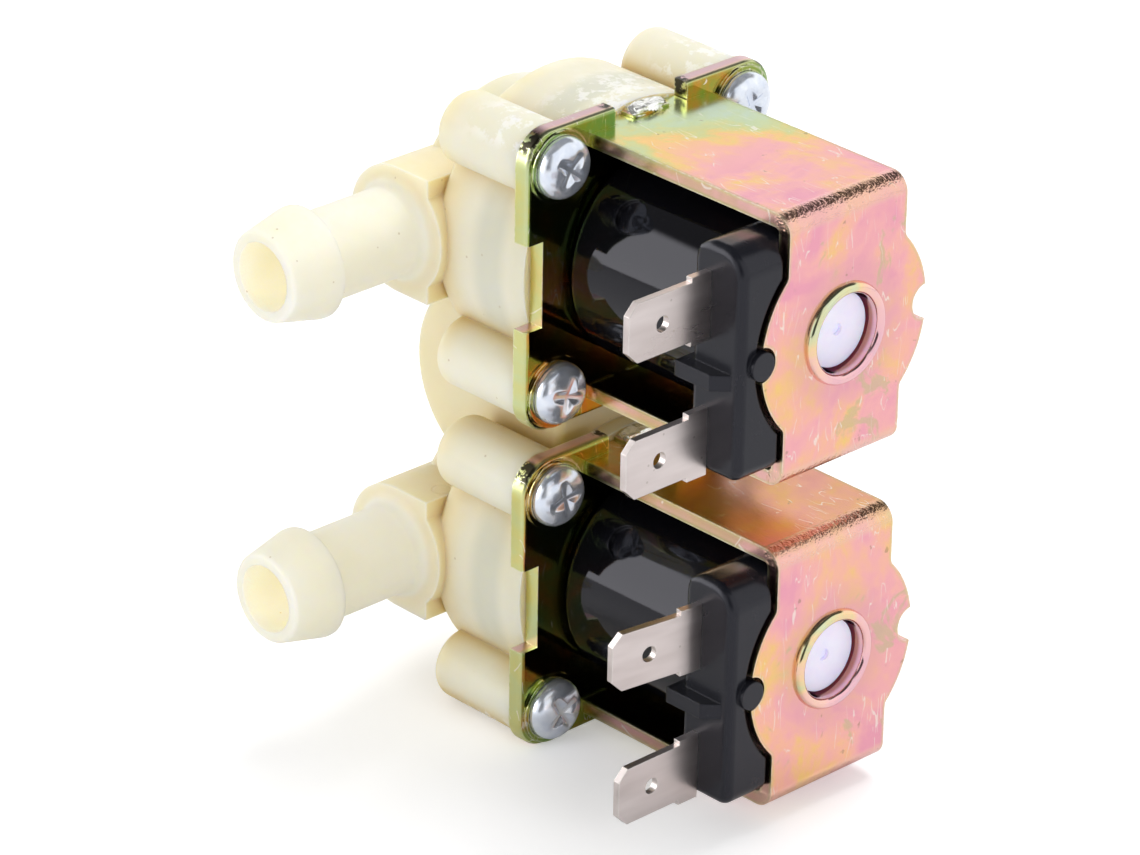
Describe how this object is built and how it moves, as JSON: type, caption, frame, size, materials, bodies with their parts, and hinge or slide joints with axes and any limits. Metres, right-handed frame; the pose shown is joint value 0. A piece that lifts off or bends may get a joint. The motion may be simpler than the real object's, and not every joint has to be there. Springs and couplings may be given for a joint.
{
  "type": "washing machine inlet valve",
  "caption": "Solenoid inlet valve with one threaded inlet and a pair of stacked, separately switched hose outlets.",
  "frame": {"origin": "where the inlet's axis meets the front face of its collar, which lies against the machine's panel", "axes": "+Y out of the inlet, outlets towards -Y, solenoids towards +X, +Z from the lower valve to the upper one"},
  "size_m": [0.0579, 0.0682, 0.069],
  "materials": {
    "nylon": "cream natural nylon, slightly see-through, satin with fine moulding marks",
    "yellow_zinc": "iridescent yellow chromate over zinc",
    "coil_resin": "black potting compound, glossy with fine scuffs",
    "tin": "tin-plated brass, warm silver",
    "screw_zinc": "bright zinc plate, bluish",
    "white_plastic": "white moulded plastic",
    "strainer_plastic": "white moulded plastic mesh",
    "plunger_steel": "turned stainless steel",
    "spring_steel": "stainless spring wire",
    "rubber": "black moulded rubber"
  },
  "bodies": {
    "root": {"valve_body": "nylon", "inlet_strainer": "strainer_plastic", "flow_washer": "rubber", "flow_washer_holder": "strainer_plastic", "upper_base_plate": "yellow_zinc", "upper_yoke": "yellow_zinc", "upper_flux_sleeve": "yellow_zinc", "upper_coil": "coil_resin", "upper_top_tab": "tin", "upper_bottom_tab": "tin", "upper_guide_tube": "white_plastic", "upper_plunger_spring": "spring_steel", "upper_diaphragm": "rubber", "upper_screws": "screw_zinc", "lower_base_plate": "yellow_zinc", "lower_yoke": "yellow_zinc", "lower_flux_sleeve": "yellow_zinc", "lower_coil": "coil_resin", "lower_top_tab": "tin", "lower_bottom_tab": "tin", "lower_guide_tube": "white_plastic", "lower_plunger_spring": "spring_steel", "lower_diaphragm": "rubber", "lower_screws": "screw_zinc"},
    "upper_armature": {"upper_plunger": "plunger_steel", "upper_plunger_tip": "rubber"},
    "upper_pilot": {"upper_pilot_insert": "white_plastic"},
    "lower_armature": {"lower_plunger": "plunger_steel", "lower_plunger_tip": "rubber"},
    "lower_pilot": {"lower_pilot_insert": "white_plastic"}
  },
  "joints": [
    {"name": "upper_plunger_lift", "type": "slide", "parent": "root", "child": "upper_armature", "axis": [1, 0, 0], "range_m": [0, 0.0024], "stiffness_N_per_m": 150, "springref_m": -0.006, "deforming": ["upper_plunger_spring"]},
    {"name": "upper_pilot_lift", "type": "slide", "parent": "root", "child": "upper_pilot", "axis": [1, 0, 0], "range_m": [0, 0.0018], "deforming": ["upper_diaphragm"]},
    {"name": "lower_plunger_lift", "type": "slide", "parent": "root", "child": "lower_armature", "axis": [1, 0, 0], "range_m": [0, 0.0024], "stiffness_N_per_m": 150, "springref_m": -0.006, "deforming": ["lower_plunger_spring"]},
    {"name": "lower_pilot_lift", "type": "slide", "parent": "root", "child": "lower_pilot", "axis": [1, 0, 0], "range_m": [0, 0.0018], "deforming": ["lower_diaphragm"]}
  ],
  "couplings": [
    {"joint": "upper_pilot_lift", "follows": "upper_plunger_lift", "ratio": 0.75},
    {"joint": "lower_pilot_lift", "follows": "lower_plunger_lift", "ratio": 0.75}
  ]
}
